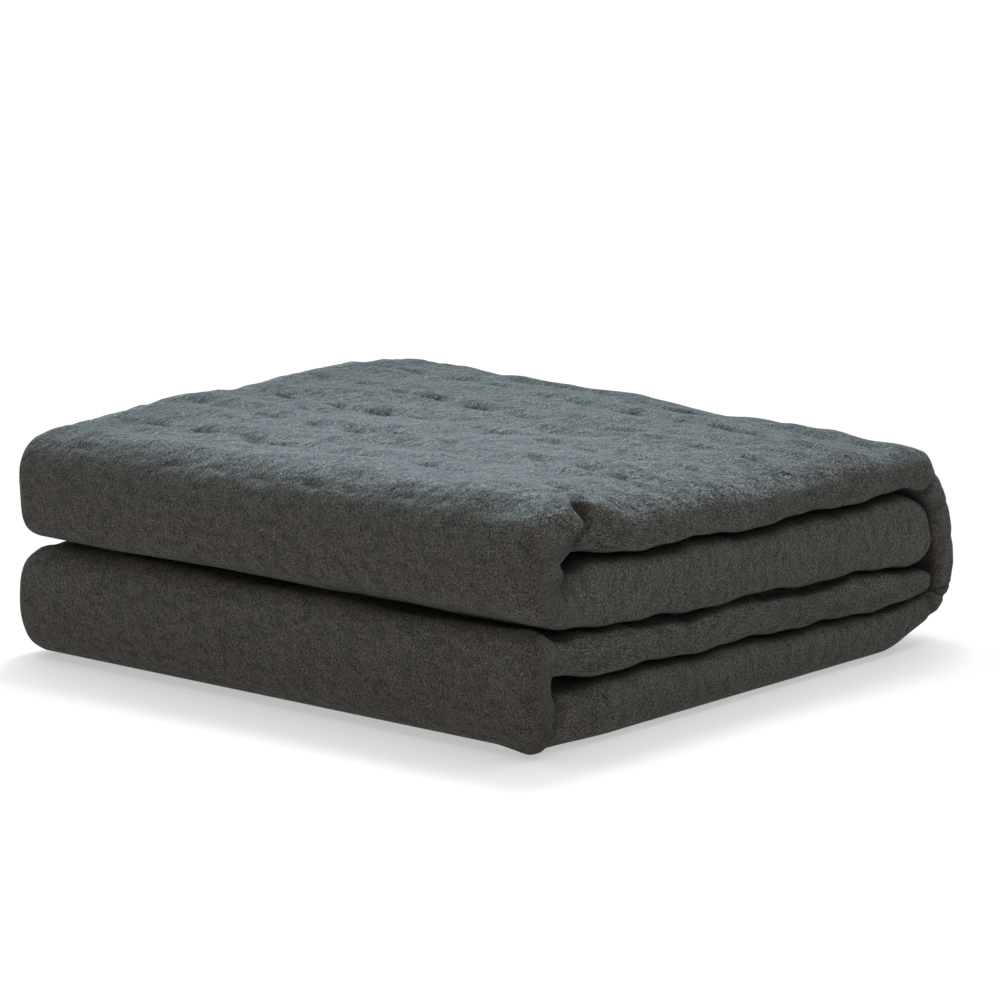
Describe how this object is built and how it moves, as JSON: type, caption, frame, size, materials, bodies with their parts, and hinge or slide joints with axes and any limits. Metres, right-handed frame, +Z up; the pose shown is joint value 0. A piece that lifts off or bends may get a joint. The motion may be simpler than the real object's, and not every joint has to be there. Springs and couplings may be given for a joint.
{
  "type": "folded electric blanket",
  "caption": "Quilted brushed-fleece heated blanket, folded flat into a thick square stack of layers with two rolled folds along its front.",
  "frame": {"origin": "middle of the footprint, on the surface that the blanket lies on", "axes": "+Z up; X along the two front rolls; -Y the front with the rolled folds; +X the side where the layers show"},
  "size_m": [0.45, 0.446, 0.1618],
  "materials": {
    "fleece": "dark grey heather brushed fleece, matt and slightly hairy"
  },
  "bodies": {
    "root": {"blanket": "fleece"}
  },
  "joints": []
}
